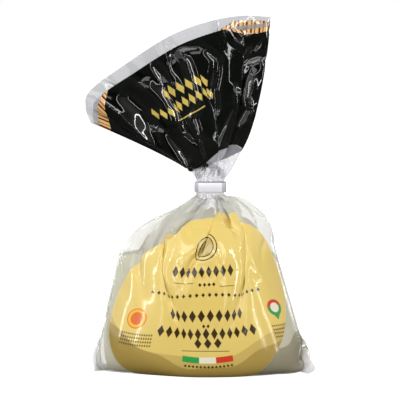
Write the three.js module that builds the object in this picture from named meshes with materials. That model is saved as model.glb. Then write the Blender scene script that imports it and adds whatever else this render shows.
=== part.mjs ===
// A tied bag of mozzarella: a tube of clear film, welded across its foot, that holds one ball of cheese in
// its brine. The full part sits on the table as a round-shouldered sack. A flat metal clip pinches the film
// into a neck, and above the clip the empty end of the tube stands up as a black printed fan, open at its mouth.
//
// Millimetres, +Z up. The origin is on the table, under the middle of the sack. The printed front faces -Y.
// "Round" is the position along the tube's edge as a turn: 0 is the left side, 0.25 the front, 0.5 the right
// side and 0.75 the back. "Across" is the position from the left side, 0, to the right side, 1.
import * as THREE from "three";

// The sack: each side is straight film between a few turns, given as [height, how far it stands out]. An ear
// is the flat corner of the weld, which sticks out at the foot.
const LEFT_SIDE = {
  outline: [[0, 79.5], [24, 77.5], [90, 63.5], [97, 60], [109, 50.5], [116, 40], [129, 13], [137, 3]],
  ear: { tip: 84, height: 18, blunt: 0.6, forward: 18 },
};
const RIGHT_SIDE = {
  outline: [[0, 82], [24, 79], [60, 68.5], [100, 57], [113, 56], [122, 49.5], [134, 36], [137, 19]],
  ear: { tip: 94, height: 17, blunt: 0.15, forward: 32 },
};
const BELLY_HALF_DEPTH = 49;
const SHOULDER_HALF_DEPTH = 43;
const DEPTH_SHOULDER_Z = 88;
const DEPTH_ROUNDNESS = 1.8;
const BELLY_Z = 24;
const FOOT_RADIUS = 14; // the curve from the table up into the side
const FOOT_INSET = 9; // how much smaller the face on the table is than the belly
const FOOT_SQUARENESS = 0.62; // 1 is an ellipse seen from above, less is squarer
const EAR_SHARE = 0.12; // how much of the half ring turns into an ear

// The neck, where the film is pinched into a flat bundle.
const NECK_X = 8;
const NECK_Z = 137;
const NECK_TOP_Z = 149;
const NECK_HALF_WIDTH = 11;
const NECK_HALF_DEPTH = 2.6;

// The clip: a strip bent round the neck, with a raised face and its two ends meeting behind.
const CLIP_HEIGHT = 7.6;
const CLIP_BOTTOM_Z = 139;
const CLIP_WALL = 1;
const CLIP_CORNER = 1.6;
const CLIP_SEAM = 0.8;
const CLIP_CLEARANCE = 0.35;
const CLIP_FACE = { width: 19.5, height: 6, rise: 0.4 };

// The fan: film lines spread from the neck like ribs, from the left rib round to the right one, up to the lip.
const LIP = [
  [-85, 193],
  [-89, 205],
  [-85, 218],
  [-55, 240],
  [-23, 260],
  [7, 271],
  [33, 275.5],
  [54.5, 274.5],
].map(([x, z]) => new THREE.Vector2(x, z));
const FAN_LEFT_RISE = 9; // how far a rib runs straight up before it leans out
const FAN_RIGHT_RISE = 39;
const FAN_RIGHT_BULGE = 31;
const FAN_WIDTH = 160; // from tip to tip across the mouth
const FRONT_DROP = 0.09; // the front wall's edge hangs this share of a rib below the back wall's lip
const FAN_MOUTH_HALF_DEPTH = 9;
const FAN_WALL = 1.3;
const HOLLOW_FROM = 0.3; // share of a rib's length at which the two walls part

// The fan's pleats: how far each rib stands back (+) or forward (-) at the middle of its length.
const FAN_PLEATS = [
  { across: 0, y: 3 },
  { across: 0.07, y: -6 },
  { across: 0.2, y: 2 },
  { across: 0.32, y: -7 },
  { across: 0.43, y: 3 },
  { across: 0.54, y: -5 },
  { across: 0.7, y: 7 },
  { across: 0.78, y: -8 },
  { across: 0.9, y: -2 },
  { across: 1, y: 2 },
];
const PLEAT_AT_MOUTH = 0.55; // share of a pleat that is left at the mouth

// The sack's folds run down from the neck and die out on the belly.
const SACK_FOLDS = [
  { round: 0.06, depth: 5, width: 0.022, endZ: 80 },
  { round: 0.14, depth: 7, width: 0.025, endZ: 72 },
  { round: 0.205, depth: 4, width: 0.02, endZ: 100 },
  { round: 0.262, depth: 10, width: 0.024, endZ: 66 },
  { round: 0.33, depth: 6, width: 0.024, endZ: 86 },
  { round: 0.4, depth: 6, width: 0.024, endZ: 82 },
  { round: 0.47, depth: 4, width: 0.02, endZ: 98 },
  { round: 0.56, depth: 6, width: 0.024, endZ: 84 },
  { round: 0.64, depth: 5, width: 0.022, endZ: 92 },
  { round: 0.72, depth: 9, width: 0.026, endZ: 74 },
  { round: 0.8, depth: 5, width: 0.022, endZ: 88 },
  { round: 0.9, depth: 7, width: 0.026, endZ: 78 },
];

// The mesh: points round each ring, and rings in each stretch.
const AROUND = 80;
const SACK_RINGS = 24;
const FAN_RINGS = 14;
const HOLLOW_RINGS = 8;

const FILM_COLOUR = 0xe3cd86;
const CLIP_COLOUR = 0xe6e6ea;

const { lerp, clamp, smoothstep } = THREE.MathUtils;

// How far a side reaches at height z, with its rounding at the foot.
function sideReach(side, z) {
  const { outline } = side;
  let i = 1;
  while (i < outline.length - 1 && z > outline[i][0]) i += 1;
  const [[lowZ, low], [highZ, high]] = [outline[i - 1], outline[i]];
  return lerp(low, high, clamp((z - lowZ) / (highZ - lowZ), 0, 1)) - footShare(z) * FOOT_INSET;
}

function halfDepth(z) {
  const foot = footShare(z) * FOOT_INSET;
  if (z < DEPTH_SHOULDER_Z) {
    const up = clamp((z - BELLY_Z) / (DEPTH_SHOULDER_Z - BELLY_Z), 0, 1);
    return lerp(BELLY_HALF_DEPTH, SHOULDER_HALF_DEPTH, up * up) - foot;
  }
  const closed = Math.pow(clamp((z - DEPTH_SHOULDER_Z) / (NECK_Z - DEPTH_SHOULDER_Z), 0, 1), DEPTH_ROUNDNESS);
  return lerp(SHOULDER_HALF_DEPTH, NECK_HALF_DEPTH, closed);
}

// 1 on the table, falling along a quarter circle to 0 at the top of the foot's curve.
function footShare(z) {
  const below = clamp(1 - z / FOOT_RADIUS, 0, 1);
  return 1 - Math.sqrt(1 - below * below);
}

// How much of an ear there is at one place of a ring: 1 at the very end of it.
function earShare(backwards) {
  const share = clamp(1 - Math.abs(backwards) / EAR_SHARE, 0, 1);
  return share * share;
}

// How far the ear stands out past the side at height z.
function earReach(side, reach, z) {
  const { tip, height, blunt } = side.ear;
  const down = clamp((height - z) / (height * (1 - blunt)), 0, 1);
  return Math.max(0, lerp(reach, tip, down) - reach);
}

// How deep the sack's folds press in at one place.
function foldDepth(round, z) {
  let depth = 0;
  for (const fold of SACK_FOLDS) {
    const off = Math.abs(round - fold.round) / fold.width;
    const down = smoothstep(z, fold.endZ, lerp(fold.endZ, NECK_Z, 0.65));
    const toNeck = 1 - smoothstep(z, lerp(fold.endZ, NECK_Z, 0.7), NECK_Z);
    depth += fold.depth * Math.exp(-off * off) * down * toNeck;
  }
  return depth;
}

// A point on the sack. The side vector points from the ring's middle to the film.
function sackPoint(round, z) {
  const turn = 2 * Math.PI * round;
  const sideways = -Math.cos(turn);
  const backwards = -Math.sin(turn);
  const isRight = sideways > 0;
  const side = isRight ? RIGHT_SIDE : LEFT_SIDE;
  const reach = sideReach(side, z);
  const squareness = lerp(FOOT_SQUARENESS, 1, smoothstep(z, 0, NECK_Z));
  const x = reach * power(sideways, squareness);
  const y = halfDepth(z) * power(backwards, squareness);
  const keep = 1 - foldDepth(round, z) / Math.hypot(x, y);
  const ear = earShare(backwards);
  const out = earReach(side, reach, z);
  const forward = clamp(1 - z / side.ear.height, 0, 1) * side.ear.forward;
  return new THREE.Vector3(x * keep + Math.sign(x) * ear * out, y * keep - ear * forward, z);
}

function power(value, exponent) {
  return Math.sign(value) * Math.pow(Math.abs(value), exponent);
}

// Straight pieces between the fan's pleat lines, softened a little.
function pleat(across) {
  let i = 1;
  while (i < FAN_PLEATS.length - 1 && across > FAN_PLEATS[i].across) i += 1;
  const [a, b] = [FAN_PLEATS[i - 1], FAN_PLEATS[i]];
  const share = clamp((across - a.across) / (b.across - a.across), 0, 1);
  return lerp(a.y, b.y, smoothstep(share, 0, 1));
}

const lip = new THREE.SplineCurve(LIP);

// A point on the fan, at share t of the rib that starts at "across" on the neck.
function fanPoint(across, t) {
  const start = new THREE.Vector2(NECK_X + NECK_HALF_WIDTH * (2 * across - 1), NECK_TOP_Z);
  const bulge = FAN_RIGHT_BULGE * across * across;
  const rise = lerp(FAN_LEFT_RISE, FAN_RIGHT_RISE, across);
  const bend = new THREE.Vector2(start.x + bulge, start.y + rise);
  return new THREE.QuadraticBezierCurve(start, bend, lip.getPoint(across)).getPoint(t);
}

// The ring of the fan at share t, with its walls taken in by "inset" for the hollow.
function fanRing(t, inset) {
  const spread = lerp(NECK_HALF_DEPTH, FAN_MOUTH_HALF_DEPTH, t) - inset;
  const fold = 4 * t * (1 - t) + PLEAT_AT_MOUTH * t * t;
  return ring((round) => {
    const turn = 2 * Math.PI * round;
    const across = (1 - Math.cos(turn)) / 2;
    const isFront = Math.sin(turn) > 0;
    const drop = isFront ? FRONT_DROP * Math.sqrt(Math.sin(turn)) : 0;
    const share = t * (1 - drop * t);
    const sides = 1 - (2 * inset) / lerp(2 * NECK_HALF_WIDTH, FAN_WIDTH, t);
    const place = fanPoint(0.5 + (across - 0.5) * sides, share);
    return new THREE.Vector3(place.x, -Math.sin(turn) * spread + fold * pleat(across), place.y);
  });
}

function ring(pointAt) {
  return Array.from({ length: AROUND }, (_, i) => pointAt(i / AROUND));
}

// A closed surface from rings of points, which run from the first ring's cap to the last one's.
function loft(rings, firstCap, lastCap) {
  const positions = rings.flat().flatMap((p) => p.toArray());
  const faces = [];
  for (let r = 0; r + 1 < rings.length; r += 1) {
    for (let i = 0; i < AROUND; i += 1) {
      const next = (i + 1) % AROUND;
      const [a, b] = [r * AROUND + i, r * AROUND + next];
      const [c, d] = [a + AROUND, b + AROUND];
      faces.push(a, b, d, a, d, c);
    }
  }
  firstCap(faces, positions, 0);
  lastCap(faces, positions, (rings.length - 1) * AROUND);
  const geometry = new THREE.BufferGeometry();
  geometry.setAttribute("position", new THREE.Float32BufferAttribute(positions, 3));
  geometry.setIndex(faces);
  geometry.computeVertexNormals();
  return geometry;
}

// The flat face on the table, as triangles about its middle.
function tableFace(faces, positions, offset) {
  const middle = positions.length / 3;
  positions.push(0, 0, 0);
  for (let i = 0; i < AROUND; i += 1) faces.push(offset + ((i + 1) % AROUND), offset + i, middle);
}

// Joins the front wall to the back wall, point by point, where the fan's hollow ends.
function wallsMeet(faces, positions, offset) {
  const half = AROUND / 2;
  for (let i = 0; i < half; i += 1) {
    const [a, b] = [offset + i, offset + i + 1];
    const [c, d] = [offset + ((AROUND - i) % AROUND), offset + AROUND - i - 1];
    if (i > 0) faces.push(a, b, c);
    if (i < half - 1) faces.push(b, d, c);
  }
}

function filmBag() {
  const rings = [];
  for (let i = 0; i <= SACK_RINGS; i += 1) {
    const share = i / SACK_RINGS;
    // Closer rings at the foot's curve and on the shoulders.
    const z = NECK_Z * (share - 0.09 * Math.sin(2 * Math.PI * share));
    rings.push(ring((round) => sackPoint(round, z)));
  }
  for (let i = 0; i <= FAN_RINGS; i += 1) rings.push(fanRing(i / FAN_RINGS, 0));
  for (let i = 0; i <= HOLLOW_RINGS; i += 1) {
    rings.push(fanRing(lerp(1, HOLLOW_FROM, i / HOLLOW_RINGS), FAN_WALL));
  }
  return loft(rings, tableFace, wallsMeet);
}

// The clip's strip as an outline seen from above: round the neck and back, open at the seam behind.
function clipOutline() {
  const inner = {
    x: NECK_HALF_WIDTH + CLIP_CLEARANCE,
    y: NECK_HALF_DEPTH + CLIP_CLEARANCE,
  };
  const outer = { x: inner.x + CLIP_WALL, y: inner.y + CLIP_WALL };
  const seam = CLIP_SEAM / 2;
  const outline = new THREE.Shape();
  outline.moveTo(seam, outer.y);
  outline.lineTo(outer.x - CLIP_CORNER, outer.y);
  outline.absarc(outer.x - CLIP_CORNER, outer.y - CLIP_CORNER, CLIP_CORNER, Math.PI / 2, 0, true);
  outline.lineTo(outer.x, -outer.y + CLIP_CORNER);
  outline.absarc(outer.x - CLIP_CORNER, CLIP_CORNER - outer.y, CLIP_CORNER, 0, -Math.PI / 2, true);
  outline.lineTo(CLIP_FACE.width / 2, -outer.y);
  outline.lineTo(CLIP_FACE.width / 2 - CLIP_FACE.rise, -outer.y - CLIP_FACE.rise);
  outline.lineTo(CLIP_FACE.rise - CLIP_FACE.width / 2, -outer.y - CLIP_FACE.rise);
  outline.lineTo(-CLIP_FACE.width / 2, -outer.y);
  outline.lineTo(CLIP_CORNER - outer.x, -outer.y);
  outline.absarc(CLIP_CORNER - outer.x, CLIP_CORNER - outer.y, CLIP_CORNER, -Math.PI / 2, -Math.PI, true);
  outline.lineTo(-outer.x, outer.y - CLIP_CORNER);
  outline.absarc(CLIP_CORNER - outer.x, outer.y - CLIP_CORNER, CLIP_CORNER, Math.PI, Math.PI / 2, true);
  outline.lineTo(-seam, outer.y);
  outline.lineTo(-seam, inner.y);
  outline.lineTo(-inner.x, inner.y);
  outline.lineTo(-inner.x, -inner.y);
  outline.lineTo(inner.x, -inner.y);
  outline.lineTo(inner.x, inner.y);
  outline.lineTo(seam, inner.y);
  outline.closePath();
  return outline;
}

function neckClip() {
  const geometry = new THREE.ExtrudeGeometry(clipOutline(), {
    depth: CLIP_HEIGHT,
    bevelEnabled: false,
    curveSegments: 5,
  });
  return geometry.translate(NECK_X, 0, CLIP_BOTTOM_Z);
}

function addMesh(parent, name, geometry, material) {
  const mesh = new THREE.Mesh(geometry, material);
  mesh.name = name;
  parent.add(mesh);
}

const bag = new THREE.Group();
const film = new THREE.MeshStandardMaterial({ color: FILM_COLOUR, roughness: 0.25, metalness: 0 });
const metal = new THREE.MeshStandardMaterial({ color: CLIP_COLOUR, roughness: 0.35, metalness: 0.6 });
addMesh(bag, "film_bag", filmBag(), film);
addMesh(bag, "neck_clip", neckClip(), metal);

export default bag;
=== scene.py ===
# %% [markdown]
# # A clipped bag of mozzarella
# The real thing is a tube of thin polyethylene film, welded across its foot, with one ball of cheese and its
# brine inside. A flat metal clip pinches the tube into a neck, and the empty end stands up as a printed fan.
# The film is the whole look of it, so most of this lesson makes one sheet of film fold as film does. The rest
# prints it, fills it, clips it and lights it. Sizes are in millimetres until a mesh is made.

# %% Tools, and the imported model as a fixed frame
import math

import bmesh
import bpy
import numpy as np
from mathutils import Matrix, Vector


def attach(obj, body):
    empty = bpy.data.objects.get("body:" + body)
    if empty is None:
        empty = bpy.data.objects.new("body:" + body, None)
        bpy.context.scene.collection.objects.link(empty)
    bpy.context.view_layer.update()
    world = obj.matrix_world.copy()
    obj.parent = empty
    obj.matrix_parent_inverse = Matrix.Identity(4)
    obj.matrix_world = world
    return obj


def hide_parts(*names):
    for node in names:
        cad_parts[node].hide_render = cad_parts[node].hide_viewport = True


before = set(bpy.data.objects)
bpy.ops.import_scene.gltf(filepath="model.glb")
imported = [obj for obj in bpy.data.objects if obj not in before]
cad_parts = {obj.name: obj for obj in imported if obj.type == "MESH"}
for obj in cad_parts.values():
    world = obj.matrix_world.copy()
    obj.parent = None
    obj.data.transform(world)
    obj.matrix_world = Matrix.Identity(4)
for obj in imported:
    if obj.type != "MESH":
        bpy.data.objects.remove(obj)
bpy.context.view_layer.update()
MM = 0.001

# %% [markdown]
# ## Camera
# A tall pack looks best through a long lens at about its own height, which keeps its sides straight. The
# camera stands 1.5 m away, six degrees above the middle of the bag, and its lens takes in 312 mm there.

# %% Camera
AIM = Vector((0, 0, 132.5 * MM))
CAMERA_DISTANCE = 1.5
CAMERA_HEIGHT_ANGLE = math.radians(6)
FIELD = 0.312


def turned_to(place, aim):
    return (Vector(aim) - Vector(place)).to_track_quat("-Z", "Y").to_euler()


camera_data = bpy.data.cameras.new("camera")
camera_data.lens = camera_data.sensor_width * CAMERA_DISTANCE / FIELD
camera = bpy.data.objects.new("camera", camera_data)
bpy.context.scene.collection.objects.link(camera)
away = Vector((0, -math.cos(CAMERA_HEIGHT_ANGLE), math.sin(CAMERA_HEIGHT_ANGLE)))
camera.location = AIM + CAMERA_DISTANCE * away
camera.rotation_euler = turned_to(camera.location, AIM)
bpy.context.scene.camera = camera
bpy.context.scene.view_settings.view_transform = "Standard"
print("lens, mm:", round(camera_data.lens, 1))

# %% [markdown]
# ## The bag's own form
# Before any fold, the film has a plain form: a sack with a flat foot, a neck, and a fan. It is worked out
# from a few sizes, as a pattern cutter would write them, in millimetres. Every later step starts from it.

# %% Sizes of the sack, the neck and the fan
# Each side is straight film between a few turns: how far out it reaches at each height.
LEFT_SIDE = dict(
    outline=[(0, 79.5), (24, 77.5), (90, 63.5), (97, 60), (109, 50.5), (116, 40), (129, 13), (137, 3)],
    ear_tip=84, ear_height=18, ear_blunt=0.6, ear_forward=18,
)
RIGHT_SIDE = dict(
    outline=[(0, 82), (24, 79), (60, 68.5), (100, 57), (113, 56), (122, 49.5), (134, 36), (137, 19)],
    ear_tip=94, ear_height=17, ear_blunt=0.15, ear_forward=32,
)
BELLY_Z, BELLY_DEPTH = 24, 49
SHOULDER_DEPTH, SHOULDER_Z, DEPTH_ROUNDNESS = 43, 88, 1.8
FOOT_RADIUS, FOOT_INSET, FOOT_SQUARENESS, EAR_SHARE = 14, 9, 0.62, 0.12
NECK_X, NECK_Z, NECK_TOP, NECK_HALF_WIDTH, NECK_HALF_DEPTH = 8, 137, 149, 11, 2.4
LIP = np.array(
    [(-85, 193), (-89, 205), (-85, 218), (-55, 240), (-23, 260), (7, 271), (33, 275.5), (54.5, 274.5)], float
)
FAN_LEFT_RISE, FAN_RIGHT_RISE, FAN_RIGHT_BULGE = 9, 39, 31
FRONT_DROP, MOUTH_HALF_DEPTH = 0.05, 9
LIP_SHARE = 0.93  # the open end was drawn a little narrower than the rest of the tube
RING_STEPS, RIB_STEPS = 1440, 200  # how finely rings and ribs are measured


def mix(a, b, share):
    return a + (b - a) * share


def ease(value, low, high):
    share = np.clip((value - low) / (high - low), 0, 1)
    return share * share * (3 - 2 * share)


# %% The sack: rings that close on the neck
def foot_curve(z):
    below = np.clip(1 - z / FOOT_RADIUS, 0, 1)
    return FOOT_INSET * (1 - np.sqrt(1 - below * below))


def side_reach(side, z):
    heights, reaches = zip(*side["outline"])
    return np.interp(z, heights, reaches) - foot_curve(z)


def reach(is_right, z):
    return np.where(is_right, side_reach(RIGHT_SIDE, z), side_reach(LEFT_SIDE, z))


def half_depth(z):
    up = np.clip((z - BELLY_Z) / (SHOULDER_Z - BELLY_Z), 0, 1)
    low = mix(BELLY_DEPTH, SHOULDER_DEPTH, up * up) - foot_curve(z)
    closed = np.clip((z - SHOULDER_Z) / (NECK_Z - SHOULDER_Z), 0, 1) ** DEPTH_ROUNDNESS
    return np.where(z < SHOULDER_Z, low, mix(NECK_HALF_DEPTH, SHOULDER_DEPTH, 1 - closed))


def squareness(z):
    return mix(FOOT_SQUARENESS, 1, ease(z, 0, NECK_Z))


def powered(value, exponent):
    return np.sign(value) * np.abs(value) ** exponent


def sack_ring(z, ears=True):
    """Points of the ring at height z, from the left side along the front to the right side and back."""
    turn = 2 * np.pi * np.arange(RING_STEPS + 1) / RING_STEPS
    across, back = -np.cos(turn), -np.sin(turn)
    z = np.full(RING_STEPS + 1, float(z))
    out = reach(across > 0, z)
    x = out * powered(across, squareness(z))
    y = half_depth(z) * powered(back, squareness(z))
    if ears:
        at_end = np.clip(1 - np.abs(back) / EAR_SHARE, 0, 1) ** 2
        for side, here in ((LEFT_SIDE, across <= 0), (RIGHT_SIDE, across > 0)):
            height = side["ear_height"]
            down = np.clip((height - z) / (height * (1 - side["ear_blunt"])), 0, 1)
            ear = np.maximum(0, mix(out, side["ear_tip"], down) - out) * at_end * here
            x = x + np.sign(across) * ear
            y = y - at_end * here * np.clip(1 - z / height, 0, 1) * side["ear_forward"]
    return np.stack([x, y, z], -1)


def lengths_along(points):
    steps = np.linalg.norm(np.diff(points, axis=0), axis=1)
    return np.concatenate([[0], np.cumsum(steps)])


FLAT = lengths_along(sack_ring(40, ears=False))[-1]  # all round the belly, 40 mm up
print("the empty tube lies", round(FLAT / 2, 1), "mm wide")


# %% The fan: ribs from the neck to the lip
def spline(points, share):
    """A smooth curve through all the points."""
    place = share * (len(points) - 1)
    i = np.clip(np.floor(place).astype(int), 0, len(points) - 2)
    w = (place - i)[..., None]
    before, here = points[np.maximum(i - 1, 0)], points[i]
    there, after = points[i + 1], points[np.minimum(i + 2, len(points) - 1)]
    leave, arrive = (there - before) / 2, (after - here) / 2
    bend = 2 * here - 2 * there + leave + arrive
    swing = -3 * here + 3 * there - 2 * leave - arrive
    return bend * w**3 + swing * w**2 + leave * w + here


LIP_POINTS = spline(LIP, np.linspace(0, 1, 2 * RIB_STEPS))
LIP_LENGTHS = lengths_along(LIP_POINTS)
print("the lip is", round(LIP_LENGTHS[-1], 1), "mm from end to end")


def spread(share, length, film, slack):
    """Places along a ring of this length for shares of the film, squeezed together where it is slack."""
    spare = 1 - length / film
    slack = slack if spare > 0 else np.ones_like(slack)
    squeeze = np.clip(1 - spare * slack / slack.mean(), 0.04, None)
    run = np.concatenate([[0], np.cumsum((squeeze[1:] + squeeze[:-1]) / 2)])
    run *= length / run[-1]
    return np.interp(share, np.linspace(0, 1, len(slack)), run)


def slack_of_wall(places, widths, even):
    """How freely the film folds at even steps across one wall: most at a few places."""
    at = np.linspace(0, FLAT / 2, 401)
    return even + sum(np.exp(-(((at - place) / width) ** 2)) for place, width in zip(places, widths))


def fan_point(across, back, t):
    """The film at share t of a rib: "across" is its place at the neck, "back" is -1 in front and 1 behind."""
    start = np.stack([NECK_X + NECK_HALF_WIDTH * (2 * across - 1), NECK_TOP + 0 * across], -1)
    lean = [FAN_RIGHT_BULGE * across**2, mix(FAN_LEFT_RISE, FAN_RIGHT_RISE, across)]
    middle = start + np.stack(lean, -1)
    run = across * LIP_LENGTHS[-1]
    end = np.stack([np.interp(run, LIP_LENGTHS, LIP_POINTS[:, axis]) for axis in (0, 1)], -1)
    bulge = 2 * np.sqrt(np.clip(across * (1 - across), 0, 1))
    drop = FRONT_DROP * np.sqrt(bulge) if back < 0 else 0
    w = np.asarray(t * (1 - drop * t))[..., None]
    place = start * (1 - w) ** 2 + 2 * middle * w * (1 - w) + end * w**2
    depth = back * bulge * mix(NECK_HALF_DEPTH, MOUTH_HALF_DEPTH, t)
    return np.stack([place[..., 0], depth, place[..., 1]], -1)


# %% [markdown]
# ## The flat sheet behind the form
# A real film only bends, it hardly stretches. So each point of the sheet needs two places: where it lies on
# the flat tube, and where it is on the bag. `around` runs along the foot weld, from the left edge over the
# front, and `up` from the weld to the lip. The print, later, is drawn in these flat millimetres, and so it
# folds with the film, exactly as ink does.


# %% Where each wall's spare film goes: places across it, how wide each is, and a little everywhere
SACK_FRONT_SLACK = ((14, 46, 112, 129, 158, 188), (12, 10, 7, 7, 14, 12), 0.06)
SACK_BACK_SLACK = ((30, 75, 120, 165), (12, 12, 12, 12), 0.15)
FAN_FRONT_SLACK = ((42, 84, 106, 148, 176), (12, 9, 9, 14, 9), 0.03)
FAN_BACK_SLACK = ((28, 70, 112, 160), (13, 13, 13, 13), 0.03)


# %% The sheet as a grid of columns and rows
def resampled(polylines, shares):
    """Each column's points moved to equal steps along it, and the columns' lengths."""
    steps = np.linalg.norm(np.diff(polylines, axis=1), axis=2)
    run = np.concatenate([np.zeros((len(steps), 1)), np.cumsum(steps, 1)], 1)
    out = np.empty((len(polylines), len(shares), 3))
    for i, line in enumerate(polylines):
        for axis in range(3):
            out[i, :, axis] = np.interp(shares * run[i, -1], run[i], line[:, axis])
    return out, run[:, -1]


def sack_slack(places_widths_even, z):
    return mix(slack_of_wall(*places_widths_even), 1, ease(z, 100, 130))


def ring_at_columns(round_share, z):
    points = sack_ring(z)
    run = lengths_along(points)
    half = run[len(points) // 2]
    is_front = round_share <= 0.5
    front = spread(round_share[is_front] * 2, half, FLAT / 2, sack_slack(SACK_FRONT_SLACK, z))
    back = spread(round_share[~is_front] * 2 - 1, run[-1] - half, FLAT / 2, sack_slack(SACK_BACK_SLACK, z))
    want = np.concatenate([front, half + back])
    return np.stack([np.interp(want, run, points[:, axis]) for axis in range(3)], -1)


def fan_at_columns(share, t):
    grid = np.linspace(0, 1, 101)
    walls = []
    for back, is_wall, slack in (
        (-1, share <= 0.5, FAN_FRONT_SLACK), (1, share > 0.5, FAN_BACK_SLACK)
    ):
        across = (1 - np.abs(1 - 2 * share))[is_wall]
        run = lengths_along(fan_point(grid, back, t))
        slack = mix(1, slack_of_wall(*slack), ease(t, 0.02, 0.25))
        place = spread(across, run[-1], FLAT / 2 * mix(1, LIP_SHARE, t), slack)
        walls.append(fan_point(np.interp(place, run, grid), back, t))
    return np.concatenate(walls)


def weld_line(across):
    centred = 2 * across - 1
    forward = np.where(centred > 0, RIGHT_SIDE["ear_forward"], LEFT_SIDE["ear_forward"])
    x = mix(-LEFT_SIDE["ear_tip"], RIGHT_SIDE["ear_tip"], across)
    return np.stack([x, -(np.abs(centred) ** 4) * forward, 0 * across], -1)


def plain_form(columns, sack_rows, neck_rows, fan_rows):
    """The bag with no folds: its points, and how far up the sheet each of them lies."""
    share = np.arange(columns) / columns
    across = 1 - np.abs(1 - 2 * share)
    walls = np.stack([ring_at_columns(share, z) for z in np.linspace(0, NECK_Z, RIB_STEPS)], 1)
    under = mix(weld_line(across)[:, None], walls[:, :1], np.linspace(0, 1, 40)[None, :, None])
    sack = np.concatenate([under[:, :-1], walls], 1)
    ribs = np.stack([fan_at_columns(share, t) for t in np.linspace(0, 1, RIB_STEPS)], 1)
    neck = np.stack([sack[:, -1], ribs[:, 0]], 1)
    points, up, base = [], [], np.zeros(columns)
    for part, rows in ((sack, sack_rows), (neck, neck_rows), (ribs, fan_rows)):
        shares = np.linspace(0, 1, rows + 1)[(1 if points else 0):]
        place, length = resampled(part, shares)
        points.append(place)
        up.append(base[:, None] + shares[None] * length[:, None])
        base = base + length
    return np.concatenate(points, 1), np.concatenate(up, 1)


# %% [markdown]
# ## Gathering the neck
# The clip crushes 400 mm of film into a bundle 22 mm wide, and it can only do so in pleats. They start as
# plain zigzags, uneven in width, whose depth takes up just the film that each ring has to spare. The
# simulation turns them into real folds.

# %% Fine pleats by the clip, and the few broad folds they open into
PLEATS = 15
PLEAT_DEPTH_AT_CLIP = 2.4
DEEPEST_FOLD = 12
FAN_GIVE = 0.12  # how much less the open end is pushed back out, so it keeps broad folds
draw = np.random.default_rng(7)
WOBBLES = np.arange(1, 6)
WOBBLE_SIZES = draw.normal(0, 1, 5) / WOBBLES * 0.9
WOBBLE_STARTS = draw.uniform(0, 2 * np.pi, 5)


def zigzag(phase):
    return 1 - 4 * np.abs(phase - np.floor(phase) - 0.5)


def fine_wave(across):
    wobble = WOBBLE_SIZES * np.sin(2 * np.pi * WOBBLES * across[..., None] + WOBBLE_STARTS)
    return zigzag(PLEATS * across + wobble.sum(-1))


def broad_slopes(across, places):
    """1 where a wall folds down into the next place and -1 where it comes back out."""
    places = np.asarray(places, float)
    between = (places[1:] + places[:-1]) / 2
    nearest = places[np.searchsorted(between, across * FLAT / 2)]
    return np.sign(nearest - across * FLAT / 2)


def depth_from(slopes, steep, pitch):
    """How deep a wall lies at each column when it falls and rises so steeply, back to nought at its end."""
    depth = np.cumsum(slopes * steep * pitch, 0)
    return depth - depth[-1:] * np.linspace(0, 1, len(depth))[:, None]


def surface_directions(points):
    """Area-sized and unit directions across the sheet, at each point of the grid."""
    along = np.roll(points, -1, 0) - np.roll(points, 1, 0)
    upward = np.empty_like(points)
    upward[:, 1:-1] = points[:, 2:] - points[:, :-2]
    upward[:, 0] = points[:, 1] - points[:, 0]
    upward[:, -1] = points[:, -1] - points[:, -2]
    wide = np.cross(along, upward)
    size = np.linalg.norm(wide, axis=2, keepdims=True)
    return size, wide / np.maximum(size, 1e-9)


# %% [markdown]
# ## Folding the film by simulation
# Blender's own cloth could do this, but film is far stiffer along its face than cloth, and needs many small
# corrections. So the sheet is a grid of points joined by stretch-proof ties, and a pass puts each tie back to
# its flat length, again and again, while the brine pushes the lower walls out. This is position-based
# dynamics, short enough to write in NumPy. A coarse sheet finds the big folds in a second or two, and finer
# sheets, started from it, add the small ones.


# %% The film as a grid of ties
# Each kind: its step across, its step up, how firmly it is pulled back when long and pushed back when short
TIE_KINDS = (
    (1, 0, 1, 0.6), (0, 1, 1, 0.6),
    (1, 1, 0.6, 0.35), (1, -1, 0.6, 0.35),
    (2, 0, 0.02, 0.25), (0, 2, 0.02, 0.25),
)


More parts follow.
